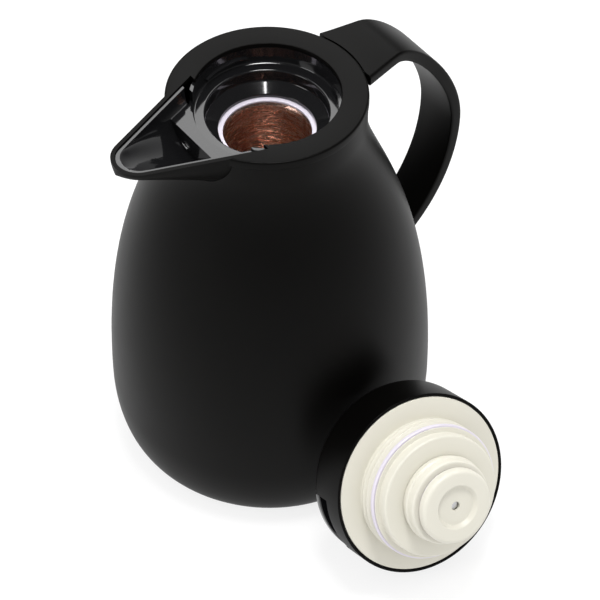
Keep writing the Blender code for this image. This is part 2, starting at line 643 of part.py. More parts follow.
def build_lid_cap(finish):
    """Round cap with a well across its top for the lever, open through the skirt at +X."""
    top = LID_HEIGHT
    corner = ellipse_arc(LID_RADIUS - LID_CORNER, top - LID_CORNER, LID_CORNER, LID_CORNER, 0, 90, 4)
    inner = LID_RADIUS - LID_WALL
    under = top - LID_ROOF
    ring = [(inner, 0), (LID_RADIUS, 0)] + corner + [(0.001, top), (0.001, under), (inner - 0.001, under),
                                                     (inner, under - 0.001)]
    cap = turned("lid_cap", ring, finish)
    join(cap, rod("crown", (0, 0, under), (0, 0, top), 0.004, steps=TINY_ROUND))
    tray = prism("tray", well_outline(-WELL_WALL, WELL_START - WELL_WALL, LID_RADIUS - 0.0006),
                 WELL_FLOOR - WELL_WALL, top - 0.0005)
    combine(tray, rod("lid_round", (0, 0, 0), (0, 0, top), LID_RADIUS - 0.0005, steps=ROUND), "INTERSECT")
    join(cap, tray)
    cut(cap, prism("well", well_outline(0, WELL_START, LID_RADIUS + 0.01), WELL_FLOOR, top + 0.01))
    floor = POCKET_FLOOR
    join(cap, rod("pocket", (0, 0, floor), (0, 0, WELL_FLOOR), POCKET_RADIUS + WELL_WALL, steps=SMALL_ROUND))
    cut(cap, rod("pocket_hole", (0, 0, floor + WELL_WALL), (0, 0, top), POCKET_RADIUS, steps=SMALL_ROUND))
    cut(cap, rod("stem_hole", (0, 0, 0), (0, 0, top), STEM_RADIUS + FIT))
    hinge = LID_HEIGHT - HINGE_DROP
    reach = WELL_HINGE_HALF + 2 * WELL_WALL
    cut(cap, rod("pin_hole", (HINGE_X, -reach, hinge), (HINGE_X, reach, hinge), PIN_RADIUS + PIN_PLAY))
    return cap


def build_lever(finish, steel):
    """Press lever flush with the lid's top. It hinges at the back and its end shows in the skirt."""
    top = LID_HEIGHT - 0.0002
    under = top - LEVER_THICK
    hinge = LID_HEIGHT - HINGE_DROP
    outline = well_outline(LEVER_GAP, WELL_START + LEVER_GAP, LID_RADIUS + 0.004)
    lever = prism("press_lever", outline, under, top, finish)
    knuckle = WELL_HINGE_HALF - LEVER_GAP - 0.0006
    join(lever, rod("knuckle", (HINGE_X, -knuckle, hinge), (HINGE_X, knuckle, hinge), KNUCKLE_RADIUS))
    round_end = [(LID_RADIUS - 0.0006, 0), (LID_RADIUS + 0.02, 0), (LID_RADIUS + 0.02, LID_HEIGHT + 0.01),
                 (LID_RADIUS - 0.0006, LID_HEIGHT + 0.01)]
    cut(lever, turned("outside", round_end, steps=ROUND))
    cut(lever, rod("bore", (HINGE_X, -0.03, hinge), (HINGE_X, 0.03, hinge), PIN_RADIUS + PIN_PLAY))
    reach = WELL_HINGE_HALF + WELL_WALL * 0.9
    pin = rod("lever_pin", (HINGE_X, -reach, hinge), (HINGE_X, reach, hinge), PIN_RADIUS, steel)
    return lever, pin


def build_stopper(white, silicone):
    """White underside: the disc, the threaded boss with its side port, and the seal round the boss."""
    disc = LID_RADIUS - LID_WALL - FIT
    groove = BOSS_OUTER - SEAL_GROOVE
    inner = BOSS_STEP_RADIUS - BOSS_WALL
    step_z = -(BOSS_DEPTH - BOSS_STEP)
    floor = -BOSS_DEPTH + BOSS_WALL
    guide = STEM_RADIUS + FIT
    neck = HOUSING_NECK + FIT
    profile = [(guide, DISC_THICK), (disc, DISC_THICK), (disc, 0.0004), (disc - 0.0004, 0), (BOSS_OUTER, 0)]
    for ridge in (1, 2):
        z = -0.0032 * ridge
        profile += [(BOSS_OUTER, z + 0.0012), (BOSS_OUTER + BOSS_THREAD, z + 0.0004),
                    (BOSS_OUTER + BOSS_THREAD, z - 0.0004), (BOSS_OUTER, z - 0.0012)]
    band = step_z + 0.0006
    profile += [(BOSS_OUTER, band + SEAL_BAND), (groove, band + SEAL_BAND), (groove, band),
                (BOSS_OUTER, band),
                (BOSS_OUTER - 0.0004, step_z), (BOSS_STEP_RADIUS, step_z),
                (BOSS_STEP_RADIUS, -BOSS_DEPTH + 0.0008), (BOSS_STEP_RADIUS - 0.0008, -BOSS_DEPTH),
                (neck, -BOSS_DEPTH), (neck, floor), (inner, floor), (inner, -0.0004), (guide, -0.0004)]
    stopper = turned("stopper_body", profile, white)
    port = -(BOSS_DEPTH - BOSS_STEP) / 2
    cut(stopper, box("port", (-BOSS_OUTER - 0.004, -PORT_WIDTH / 2, port - PORT_HEIGHT / 2 + 0.0012),
                     (-inner + 0.004, PORT_WIDTH / 2, port + PORT_HEIGHT / 2 - 0.0012)))
    seal_outer = BOSS_OUTER + BOSS_THREAD * 0.8
    seal_profile = [(groove + FIT, band + FIT), (seal_outer, band + FIT),
                    (seal_outer, band + SEAL_BAND - FIT), (groove + FIT, band + SEAL_BAND - FIT)]
    seal = turned("stopper_seal", seal_profile, silicone)
    return stopper, seal


def build_valve(white, silicone, steel):
    """Housing under the stopper, and the valve that opens downwards: disc, seal, stem and spring."""
    top = -BOSS_DEPTH - FIT
    bottom = -HOUSING_END
    inner = HOUSING_RADIUS - HOUSING_WALL
    ridge = HOUSING_RADIUS + 0.0006
    profile = [(HOUSING_NECK - HOUSING_WALL, -BOSS_DEPTH + BOSS_WALL + 0.002),
               (HOUSING_NECK, -BOSS_DEPTH + BOSS_WALL + 0.002), (HOUSING_NECK, top), (HOUSING_RADIUS, top),
               (HOUSING_RADIUS, top - 0.002), (ridge, top - 0.0026), (ridge, top - 0.0034),
               (HOUSING_RADIUS, top - 0.004), (HOUSING_RADIUS, bottom), (SEAT_RADIUS, bottom),
               (SEAT_RADIUS, bottom + HOUSING_WALL), (inner, bottom + HOUSING_WALL),
               (inner, top - HOUSING_WALL),
               (HOUSING_NECK - HOUSING_WALL, top - HOUSING_WALL)]
    housing = turned("valve_housing", profile, white, SMALL_ROUND)

    seal_top = bottom - FIT
    seal_low = seal_top - VALVE_SEAL_THICK
    seal_profile = [(SEAT_RADIUS + 0.0006, seal_low), (VALVE_RADIUS - 0.0008, seal_low),
                    (VALVE_RADIUS - 0.0008, seal_top), (SEAT_RADIUS + 0.0006, seal_top)]
    seal = turned("valve_seal", seal_profile, silicone, SMALL_ROUND)

    face = seal_low - FIT
    low = face - VALVE_THICK
    rim = ellipse_arc(VALVE_RADIUS - 0.0022, face - 0.0024, 0.0022, 0.0022, 0, -90, 4)
    hub = STEM_RADIUS + 0.0020
    socket_top = bottom + 0.004
    profile = [(STEM_RADIUS + FIT, socket_top), (hub, socket_top), (hub, face), (VALVE_RADIUS, face)]
    profile += rim[:-1] + [(VALVE_RADIUS - 0.0022, low), (VALVE_RECESS_RADIUS + 0.0012, low),
                           (VALVE_RECESS_RADIUS, low + 0.0012),
                           (VALVE_RECESS_RADIUS - 0.0004, low + VALVE_RECESS),
                           (VENT_RADIUS, low + VALVE_RECESS), (VENT_RADIUS, low + VALVE_RECESS + 0.0012),
                           (STEM_RADIUS + FIT, low + VALVE_RECESS + 0.0012)]
    disc = turned("valve_disc", profile, white, SMALL_ROUND)

    lever_under = LID_HEIGHT - 0.0002 - LEVER_THICK
    head_top = lever_under - FIT
    stem_low = low + VALVE_RECESS + 0.0012 + FIT
    stem = rod("valve_stem", (0, 0, stem_low), (0, 0, head_top - 0.0004), STEM_RADIUS, steel)
    join(stem, rod("stem_head", (0, 0, head_top - STEM_HEAD_THICK), (0, 0, head_top), STEM_HEAD_RADIUS))

    low_end = POCKET_FLOOR + WELL_WALL + FIT + SPRING_WIRE
    high_end = head_top - STEM_HEAD_THICK - FIT - SPRING_WIRE
    rings = []
    steps = SPRING_TURNS * SPRING_STEPS
    for step in range(steps + 1):
        angle = math.tau * step / SPRING_STEPS
        centre = Vector((SPRING_RADIUS * math.cos(angle), SPRING_RADIUS * math.sin(angle),
                         low_end + (high_end - low_end) * step / steps))
        outward = Vector((math.cos(angle), math.sin(angle), 0))
        ring = []
        for side in range(6):
            turn = math.tau * side / 6
            ring.append(centre + SPRING_WIRE * (math.cos(turn) * outward + Vector((0, 0, math.sin(turn)))))
        rings.append(ring)
    spring = loft("return_spring", rings, steel)
    return [housing, seal, disc, stem, spring]


def place_lid(pieces, lever):
    """Stands the lid on its top edge and leans it on the belly, underside facing out and up."""
    out = Vector((math.cos(LID_FACING), math.sin(LID_FACING), 0))
    facing = out * math.cos(LID_TILT) + Vector((0, 0, math.sin(LID_TILT)))
    up = Vector((0, 0, math.cos(LID_TILT))) - out * math.sin(LID_TILT)
    side = up.cross(facing)
    x_axis = side * math.cos(LID_TURN) + up * math.sin(LID_TURN)
    z_axis = -facing
    turn = Matrix((x_axis, z_axis.cross(x_axis), z_axis)).transposed()

    edge = [(LID_RADIUS, LID_HEIGHT - LID_CORNER)]
    edge += [(LID_RADIUS - LID_CORNER * (1 - math.cos(a)), LID_HEIGHT - LID_CORNER * (1 - math.sin(a)))
             for a in (math.radians(step * 10) for step in range(1, 10))]
    lowest = min(-radius * math.cos(LID_TILT) - z * math.sin(LID_TILT) for radius, z in edge)
    height = FIT - lowest
    bearing = Vector((math.cos(LID_BEARING), math.sin(LID_BEARING), 0))
    nearest = BELLY_RADIUS + LID_HEIGHT
    distance = nearest
    while distance < 3 * nearest and touches_belly(turn, bearing * distance + Vector((0, 0, height)), edge):
        distance += FIT
    holder = bpy.data.objects.new("lid_frame", None)
    bpy.context.scene.collection.objects.link(holder)
    holder.matrix_world = Matrix.Translation(bearing * distance + Vector((0, 0, height))) @ turn.to_4x4()
    for piece in pieces:
        piece.parent = holder
    move_origin(lever, Vector((HINGE_X, 0, LID_HEIGHT - HINGE_DROP)))
    return holder


def touches_belly(turn, place, edge):
    """Whether any point of the lid's top edge comes within the standoff of the shell."""
    for radius, z in edge:
        for step in range(72):
            angle = math.tau * step / 72
            point = turn @ Vector((radius * math.cos(angle), radius * math.sin(angle), z)) + place
            if math.hypot(point.x, point.y) < radius_at(OUTLINE, point.z) + LID_STANDOFF:
                return True
    return False


def move_origin(obj, origin):
    """Moves an object's origin, in its parent's frame, and leaves its mesh where it is."""
    obj.data.transform(Matrix.Translation(-origin))
    obj.location = origin


def main():
    clear_scene()
    black = material("matte_black", (0.016, 0.016, 0.017), 0.42)
    gloss = material("gloss_black", (0.008, 0.008, 0.009), 0.08)
    white = material("warm_white", (0.80, 0.78, 0.71), 0.45)
    silicone = material("clear_silicone", (0.72, 0.70, 0.73), 0.35)
    rubber = material("black_rubber", (0.03, 0.03, 0.03), 0.8)
    foam = material("grey_foam", (0.28, 0.28, 0.28), 0.9)
    glass = material("copper_mirrored_glass", (0.72, 0.38, 0.26), 0.12, 1.0)
    mica = material("mica", (0.62, 0.60, 0.55), 0.6)
    steel = material("steel", (0.62, 0.62, 0.63), 0.3, 1.0)
    build_shell(black)
    build_rim(black)
    build_funnel(gloss)
    build_liner(glass, mica)
    build_seals(silicone, foam)
    build_base(black, rubber)
    build_handle(black, steel)
    cap = build_lid_cap(black)
    lever, pin = build_lever(gloss, steel)
    stopper, seal = build_stopper(white, silicone)
    valve = build_valve(white, silicone, steel)
    place_lid([cap, lever, pin, stopper, seal] + valve, lever)


main()
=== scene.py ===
import json
import math

import bpy
from mathutils import Matrix, Vector


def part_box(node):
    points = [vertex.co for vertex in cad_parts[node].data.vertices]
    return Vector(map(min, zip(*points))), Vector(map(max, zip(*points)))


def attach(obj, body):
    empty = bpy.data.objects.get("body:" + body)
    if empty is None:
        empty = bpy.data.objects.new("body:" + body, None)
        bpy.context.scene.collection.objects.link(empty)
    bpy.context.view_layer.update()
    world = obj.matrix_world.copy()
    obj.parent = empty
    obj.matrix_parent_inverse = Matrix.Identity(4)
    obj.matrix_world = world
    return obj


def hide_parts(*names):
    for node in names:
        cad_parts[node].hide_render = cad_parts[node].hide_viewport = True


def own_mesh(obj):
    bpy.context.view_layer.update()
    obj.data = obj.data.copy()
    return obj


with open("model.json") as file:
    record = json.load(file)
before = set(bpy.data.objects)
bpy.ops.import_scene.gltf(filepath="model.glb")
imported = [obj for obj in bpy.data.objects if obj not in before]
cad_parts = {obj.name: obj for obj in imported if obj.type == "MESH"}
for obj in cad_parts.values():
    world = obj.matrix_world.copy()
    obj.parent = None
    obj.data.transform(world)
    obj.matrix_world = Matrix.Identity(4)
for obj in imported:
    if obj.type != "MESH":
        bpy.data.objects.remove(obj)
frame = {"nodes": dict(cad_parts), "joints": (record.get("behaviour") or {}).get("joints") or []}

bpy.context.view_layer.update()

nodes = frame["nodes"]
joints = {joint["name"]: joint for joint in frame["joints"]}

# ---- camera: looks down past the spout, with the loose lid in front of the jug
AIM = Vector((0.0114, -0.0084, 0.0731))
DISTANCE = 1.2
AZIMUTH = math.radians(-36.5)
ELEVATION = math.radians(46.6)
away = Vector((math.sin(AZIMUTH) * math.cos(ELEVATION), -math.cos(AZIMUTH) * math.cos(ELEVATION),
               math.sin(ELEVATION)))
bpy.ops.object.camera_add(location=AIM + away * DISTANCE)
camera = bpy.context.object
camera.rotation_euler = (-away).to_track_quat("-Z", "Y").to_euler()
camera.data.lens = 154.94
camera.data.sensor_width = 36
bpy.context.scene.camera = camera

# ---- body shell
# The outer wall is injection-moulded plastic with a fine satin texture: one bell from the foot to the
# neck, open at both ends. It is glued to nothing; the rim snaps on above and the base screws in below.
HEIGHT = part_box("rim_and_spout")[1][2]
shell_low, shell_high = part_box("body_shell")
BELLY = shell_high[1]
BELLY_Z = 0.035
FOOT = 0.0615
NECK = 0.0436
WALL = 0.0022
GAP = 0.0003
ROUND = 128  # steps of a turned piece


def deselect():
    if bpy.context.object and bpy.context.object.mode == "EDIT":
        bpy.ops.object.mode_set(mode="OBJECT")
    bpy.ops.object.select_all(action="DESELECT")


def draw(name, points):
    """A closed outline, drawn by extruding one vertex from point to point; it is left in edit mode."""
    deselect()
    bpy.ops.mesh.primitive_circle_add(vertices=3, radius=0.001)
    obj = bpy.context.object
    obj.name = name
    bpy.ops.object.mode_set(mode="EDIT")
    bpy.ops.mesh.merge(type="CENTER")
    start = Vector(points[0])
    bpy.ops.transform.translate(value=start)
    for point in points[1:] + points[:1]:
        step = Vector(point) - start
        bpy.ops.mesh.extrude_region_move(TRANSFORM_OT_translate={"value": step})
        start = Vector(point)
    bpy.ops.mesh.select_all(action="SELECT")
    bpy.ops.mesh.remove_doubles(threshold=1e-7)
    return obj


def close_up():
    """Merges what an operator left double, turns all faces outwards and leaves edit mode."""
    bpy.ops.mesh.select_all(action="SELECT")
    bpy.ops.mesh.remove_doubles(threshold=2e-6)
    bpy.ops.mesh.normals_make_consistent(inside=False)
    bpy.ops.object.mode_set(mode="OBJECT")


def turned(name, profile, steps=ROUND):
    """A closed (radius, z) outline spun round Z."""
    obj = draw(name, [(radius, 0, z) for radius, z in profile])
    bpy.ops.mesh.spin(steps=steps, angle=math.tau, center=(0, 0, 0), axis=(0, 0, 1))
    close_up()
    return obj


def prism(name, outline, low, high):
    """An (x, y) outline filled and raised from low to high."""
    obj = draw(name, [(x, y, low) for x, y in outline])
    bpy.ops.mesh.edge_face_add()
    bpy.ops.mesh.extrude_region_move(TRANSFORM_OT_translate={"value": (0, 0, high - low)})
    close_up()
    return obj


def corners(points, steps=5):
    """An outline whose corners are rounded: each point is (x, y) or (x, y, fillet radius)."""
    made = []
    count = len(points)
    for i, point in enumerate(points):
        here = Vector(point[:2])
        if len(point) == 2 or not point[2]:
            made.append(tuple(here))
            continue
        back = Vector(points[i - 1][:2]) - here
        ahead = Vector(points[(i + 1) % count][:2]) - here
        half = back.angle(ahead) / 2
        reach = min(point[2] / math.tan(half), back.length * 0.48, ahead.length * 0.48)
        first, last = here + back.normalized() * reach, here + ahead.normalized() * reach
        for step in range(steps + 1):
            t = step / steps
            made.append(tuple(first * (1 - t) ** 2 + here * 2 * t * (1 - t) + last * t ** 2))
    return made


def bezier(start, start_pull, end_pull, end, steps):
    points = []
    for step in range(steps + 1):
        t = step / steps
        weights = ((1 - t) ** 3, 3 * t * (1 - t) ** 2, 3 * t * t * (1 - t), t ** 3)
        ends = (start, start_pull, end_pull, end)
        points.append(tuple(sum(w * p[axis] for w, p in zip(weights, ends)) for axis in range(2)))
    return points


def apply_modifier(obj, kind, **settings):
    deselect()
    bpy.context.view_layer.objects.active = obj
    obj.select_set(True)
    change = obj.modifiers.new(kind.lower(), kind)
    for key, value in settings.items():
        setattr(change, key, value)
    bpy.ops.object.modifier_apply(modifier=change.name)


def combine(obj, operation, *others):
    """Applies a Boolean with each of the others, which it uses up."""
    for other in others:
        apply_modifier(obj, "BOOLEAN", operation=operation, object=other, solver="EXACT")
        bpy.data.objects.remove(other, do_unlink=True)


def smooth(obj, degrees=32):
    deselect()
    bpy.context.view_layer.objects.active = obj
    obj.select_set(True)
    bpy.ops.object.shade_smooth_by_angle(angle=math.radians(degrees))


def place(obj, matrix):
    obj.matrix_world = matrix
    deselect()
    bpy.context.view_layer.objects.active = obj
    obj.select_set(True)
    bpy.ops.object.transform_apply(location=True, rotation=True, scale=True)


def finished(obj, look, body, slot, *replaced):
    """Gives a piece its material, hangs it on the body it rides with and hides the frame's parts that it
    stands for.
    """
    obj.data.materials.clear()
    obj.data.materials.append(look)
    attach(obj, body)
    if replaced:
        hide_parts(*replaced)


class Wire:
    """A node's output in one material's tree, with arithmetic."""

    def __init__(self, tree, socket):
        self.tree = tree
        self.socket = socket

    def math(self, operation, *values):
        return node(self.tree, "ShaderNodeMath", values, operation=operation)

    def __add__(self, other):
        return self.math("ADD", self, other)

    def __sub__(self, other):
        return self.math("SUBTRACT", self, other)

    def __mul__(self, other):
        return self.math("MULTIPLY", self, other)

    def __pow__(self, other):
        return self.math("POWER", self, other)

    def __rsub__(self, other):
        return self.math("SUBTRACT", other, self)

    __radd__ = __add__
    __rmul__ = __mul__

    def mix(self, low, high):
        """A colour between two others, by this value."""
        return node(self.tree, "ShaderNodeMix", {"Factor": self, 6: (*low, 1), 7: (*high, 1)}, 2,
                    data_type="RGBA")


def node(tree, kind, inputs=(), output=0, **settings):
    """Adds a node, sets or links its inputs, by place or by name, and returns one output."""
    made = tree.nodes.new(kind)
    for key, value in settings.items():
        setattr(made, key, value)
    given = inputs.items() if isinstance(inputs, dict) else enumerate(inputs)
    for key, value in given:
        if isinstance(value, Wire):
            tree.links.new(value.socket, made.inputs[key])
        else:
            made.inputs[key].default_value = value
    return Wire(tree, made.outputs[output])


def material(name, colour, roughness, metallic=0.0, coat=0.0):
    """A Principled material and its tree; what varies is linked to it afterwards."""
    made = bpy.data.materials.new(name)
    made.use_nodes = True
    shader = made.node_tree.nodes["Principled BSDF"]
    shader.inputs["Base Color"].default_value = (*colour, 1)
    shader.inputs["Roughness"].default_value = roughness
    shader.inputs["Metallic"].default_value = metallic
    shader.inputs["Coat Weight"].default_value = coat
    return made, made.node_tree, shader


def link(wire, shader, name):
    wire.tree.links.new(wire.socket, shader.inputs[name])


def where(tree, scale=(1, 1, 1)):
    """Object coordinates, stretched."""
    place_node = node(tree, "ShaderNodeTexCoord", output=3)
    return node(tree, "ShaderNodeMapping", {"Vector": place_node, "Scale": scale})


def noise(tree, scale, detail=2.0, stretch=(1, 1, 1)):
    inputs = {"Vector": where(tree, stretch), "Scale": scale, "Detail": detail}
    return node(tree, "ShaderNodeTexNoise", inputs)


def bump(height, shader, strength, distance):
    link(node(height.tree, "ShaderNodeBump", {"Height": height, "Strength": strength, "Distance": distance}),
         shader, "Normal")


def satin_black(name, grain):
    """Black plastic from a spark-eroded mould: a fine grain, and hands have polished it unevenly."""
    made, tree, shader = material(name, (0.003, 0.003, 0.0028), 0.42)
    shader.inputs["Specular IOR Level"].default_value = 0.07
    patches = noise(tree, 28, 3)
    link(patches * 0.10 + 0.36, shader, "Roughness")
    link(patches.mix((0.0010, 0.0009, 0.0008), (0.0022, 0.0020, 0.0017)), shader, "Base Color")
    bump(noise(tree, grain, 3), shader, 0.25, 0.00005)
    return made


matte_black = satin_black("satin black plastic", 1900)


def offset(points, distance):
    """An outline that runs upwards, moved inwards along its normals."""
    moved = []
    for i, (radius, z) in enumerate(points):
        before, after = points[max(i - 1, 0)], points[min(i + 1, len(points) - 1)]
        along = Vector((after[0] - before[0], after[1] - before[1])).normalized()
        moved.append((radius - along.y * distance, z + along.x * distance))
    return moved


FLANGE = 0.0020  # the base shows as a thin ring below the shell
BELL_TOP = HEIGHT - 0.0143
bell = bezier((FOOT, 0), (FOOT + 0.0075, 0), (BELLY, BELLY_Z - 0.021), (BELLY, BELLY_Z), 18)
shoulder_pull, neck_pull = (BELLY, BELLY_Z + 0.107), (NECK, BELL_TOP - 0.030)
bell += bezier((BELLY, BELLY_Z), shoulder_pull, neck_pull, (NECK, BELL_TOP), 40)[1:]
side = [point for point in bell if point[1] > FLANGE + 0.0004]
foot_radius = side[0][0] - 0.0006
neck_top = HEIGHT - 0.0043
inside = [point for point in offset(side, WALL) if point[1] > 0.008]
profile = [(foot_radius - 0.0012, FLANGE + GAP)] + [(foot_radius, FLANGE + GAP)] + side + [(NECK, neck_top)]
profile += [(NECK - WALL, neck_top)] + inside[::-1]
body = turned("bell_shell", profile)


# ---- rim ring with the spout
# A separate moulding of the same satin plastic: a flat collar that snaps over the neck, drawn out at the
# front into a boat-shaped beak. Its top edge is broken by a small radius all round.
TIP = -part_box("rim_and_spout")[0][0]
TIP_RADIUS = 0.0120
HALF_WIDTH = 0.0226
ROOT = 0.0386
DEPTH = 0.0230
TIP_DEPTH = 0.0042
RIM = 0.0440
BORE = 0.0322
SPOUT_WALL = 0.0019


def half_width(distance, inset):
    """Half the beak's width: straight sides that run into a round tip."""
    centre = TIP - TIP_RADIUS
    slope = (HALF_WIDTH - TIP_RADIUS) / (centre - ROOT)
    lean = math.atan(slope)
    touch = centre + TIP_RADIUS * math.sin(lean)
    if distance < touch:
        return TIP_RADIUS * math.cos(lean) + (touch - distance) * slope - inset / math.cos(lean)
    return math.sqrt(max((TIP_RADIUS - inset) ** 2 - (distance - centre) ** 2, 0))


def beak_depth(distance, inset):
    share = min(max((distance - ROOT) / (TIP - inset - ROOT), 0), 1)
    return TIP_DEPTH + (DEPTH - TIP_DEPTH) * (1 - share) ** 1.15 - inset


def beak(name, inset, root, top=HEIGHT, rise=0.0):
    """The beak's solid: a keel-shaped section extruded forwards and made narrower and shallower.
    rise carries its flat top up past the rim, for cutting."""
    tip = TIP_RADIUS - inset
    stations = [root + (TIP - TIP_RADIUS - root) * i / 9 for i in range(10)]
    angles = (12, 24, 36, 47, 57, 66, 74, 81, 86)
    stations += [TIP - TIP_RADIUS + tip * math.sin(math.radians(a)) for a in angles]
    half, depth = half_width(root, inset), beak_depth(root, inset) - (HEIGHT - top)
    steps = 28
    section = []
    for step in range(steps + 1):
        angle = math.pi * step / steps
        section.append((-root, -half * math.cos(angle), top - depth * math.sin(angle) ** 0.8))
    obj = draw(name, section)
    bpy.ops.mesh.edge_face_add()
    for before, after in zip(stations, stations[1:]):
        bpy.ops.mesh.extrude_region_move(TRANSFORM_OT_translate={"value": (before - after, 0, 0)})
        wide = half_width(after, inset) / half_width(before, inset)
        now, then = (beak_depth(d, inset) - (HEIGHT - top) for d in (after, before))
        bpy.ops.transform.resize(value=(1, wide, now / then), center_override=(-after, 0, top))
    close_up()
    if rise:
        bpy.ops.object.mode_set(mode="EDIT")
        bpy.ops.mesh.select_all(action="DESELECT")
        bpy.ops.object.mode_set(mode="OBJECT")
        for face in obj.data.polygons:
            face.select = face.normal.z > 0.9
        bpy.ops.object.mode_set(mode="EDIT")
        bpy.ops.mesh.extrude_region_move(TRANSFORM_OT_translate={"value": (0, 0, rise)})
        close_up()
    return obj


combine(body, "DIFFERENCE", beak("room for the beak", -GAP, 0.0200, rise=0.005))
smooth(body)
finished(body, matte_black, "jug", "matte_black", "body_shell")

spigot = NECK - WALL - GAP
inner = spigot - 0.0022
rim = turned("rim_and_beak", corners([
    (BORE, HEIGHT - 0.002), (BORE, HEIGHT, 0.0005), (RIM, HEIGHT, 0.0011), (RIM, HEIGHT - 0.004, 0.0003),
    (spigot, HEIGHT - 0.004), (spigot, HEIGHT - 0.016), (inner, HEIGHT - 0.016), (inner, HEIGHT - 0.002)]))
combine(rim, "UNION", beak("beak", 0, 0.0360))
combine(rim, "DIFFERENCE", beak("hollow of the beak", SPOUT_WALL, 0.0200, rise=0.005))
under = [(0, HEIGHT - 0.002), (inner, HEIGHT - 0.002), (inner, HEIGHT - 0.06), (0, HEIGHT - 0.06)]
combine(rim, "DIFFERENCE", turned("room under the ring", under))
smooth(rim)
finished(rim, matte_black, "jug", "matte_black", "rim_and_spout")


# ---- funnel insert
# A polished black moulding under the ring: the well that the lid screws into, its ledge and throat, and
# the lining of the beak. Short sloping ribs on its wall hold the lid.
gloss_black, tree, shader = material("polished black plastic", (0.006, 0.006, 0.0065), 0.07, coat=0.3)
smears = noise(tree, 60, 4)
link(smears * 0.10 + 0.04, shader, "Roughness")
bump(noise(tree, 90, 1), shader, 0.06, 0.0004)

FUNNEL_WALL = 0.0015
LEDGE = 0.0270
MOUTH = 0.0214
well_top = HEIGHT - 0.0023
ledge_z = HEIGHT - 0.011
throat_z = HEIGHT - 0.017
funnel_low = HEIGHT - 0.0217
funnel = turned("well_and_lining", corners([
    (BORE, well_top), (BORE, ledge_z, 0.0012), (LEDGE, ledge_z, 0.0008), (LEDGE, throat_z, 0.0010),
    (MOUTH, funnel_low + 0.0016, 0.0005), (MOUTH, funnel_low), (LEDGE + FUNNEL_WALL, funnel_low),
    (LEDGE + FUNNEL_WALL, ledge_z - FUNNEL_WALL), (BORE + FUNNEL_WALL, ledge_z - FUNNEL_WALL),
    (BORE + FUNNEL_WALL, well_top)]))
lining = beak("lining", SPOUT_WALL + GAP, BORE - 0.006, HEIGHT - 0.0008)
well = [(0, HEIGHT + 0.01), (BORE + FUNNEL_WALL / 2, HEIGHT + 0.01), (BORE + FUNNEL_WALL / 2, HEIGHT - 0.04),
        (0, HEIGHT - 0.04)]
combine(lining, "DIFFERENCE", turned("well", well))
combine(funnel, "UNION", lining)


def rib(start):
    """A sloping rib on the well's wall: a bar whose end is extruded along the wall in short steps."""
    low, out, tall = ledge_z + 0.0035, BORE - 0.0012, 0.0022
    obj = draw("rib", [(out, 0, low + 0.0003), (BORE + 0.0006, 0, low), (BORE + 0.0006, 0, low + tall * 0.4),
                       (out, 0, low + tall * 0.4 - 0.0002)])
    bpy.ops.mesh.edge_face_add()
    for step in range(20):
        bpy.ops.mesh.extrude_region_move(TRANSFORM_OT_translate={"value": (0, 0, -0.0001)})
        bpy.ops.transform.rotate(value=math.radians(-2), orient_axis="Z", center_override=(0, 0, 0))
        if step < 5:
            bpy.ops.transform.resize(value=(1, 1, 1.2), center_override=(0, 0, low))
    close_up()
    place(obj, Matrix.Rotation(math.radians(start), 4, "Z"))
    return obj


for start in (70, 310):
    combine(funnel, "UNION", rib(start))
channel = beak("channel", SPOUT_WALL + GAP + 0.0013, 0.0240, rise=0.005)
weir_z = HEIGHT - 0.0085
weir = prism("weir", [(-0.0375, -0.04), (0, -0.04), (0, 0.04), (-0.0375, 0.04)], weir_z - 0.03, weir_z)
combine(channel, "DIFFERENCE", weir)
combine(funnel, "DIFFERENCE", channel)
smooth(funnel)
finished(funnel, gloss_black, "jug", "gloss_black", "funnel_insert")


# ---- glass liner
# Two glass flasks, blown one inside the other and fused at the mouth, silvered with copper in the gap
# and pumped empty. The wet coating ran as it dried, so the mirror is streaked along the glass.
def mirrored(name, base):
    made, tree, shader = material(name, base, 0.12, 1.0)
    streaks = noise(tree, 55, 6, (1, 1, 3.2))
    fine = noise(tree, 260, 4, (1, 1, 4.5))
    link((streaks * 0.6 + fine * 0.4).mix((0.74, 0.36, 0.25), (1.0, 0.86, 0.76)), shader, "Base Color")
    link(fine * 0.40 + 0.06, shader, "Roughness")
    bump(streaks * 0.7 + fine * 0.3, shader, 0.9, 0.0016)
    return made


copper_mirror = mirrored("copper mirrored glass", (0.80, 0.45, 0.32))
LIP = 0.0194
GLASS = 0.0015
INNER_RADIUS = 0.0500
lip_top = HEIGHT - 0.022
glass_top = lip_top - 0.0015
shoulder_z = glass_top - 0.084
liner_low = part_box("liner_inner_flask")[0][2]
base_z = 0.038


def flask(radius, neck, low):
    """Side of a flask from the axis at its base, round the base and in over the shoulder to the neck."""
    points = []
    for step in range(17):
        angle = math.radians(-90 + 90 * step / 16)
        points.append((radius * math.cos(angle) if step else 0, base_z + (base_z - low) * math.sin(angle)))
    wide = INNER_RADIUS - (0.0242 - 0.006)
    centre = radius - wide
    last = math.acos((neck - centre) / wide)
    for step in range(17):
        angle = last * step / 16
        points.append((centre + wide * math.cos(angle), shoulder_z + 0.050 * math.sin(angle)))
    return points


outer_side = flask(INNER_RADIUS, LIP + GLASS, liner_low)
inner_side = flask(INNER_RADIUS - GLASS, LIP, liner_low + GLASS)
lip = [(LIP + GLASS, glass_top - 0.0046), (0.0242, glass_top - 0.0045)]
for step in range(9):
    angle = math.pi * step / 8
    lip.append((0.0218 + 0.0024 * math.cos(angle), glass_top - 0.0022 + 0.0022 * math.sin(angle)))
liner = turned("glass_liner", outer_side + lip + inner_side[::-1])
smooth(liner)
finished(liner, copper_mirror, "jug", "copper_mirrored_glass", "liner_inner_flask")


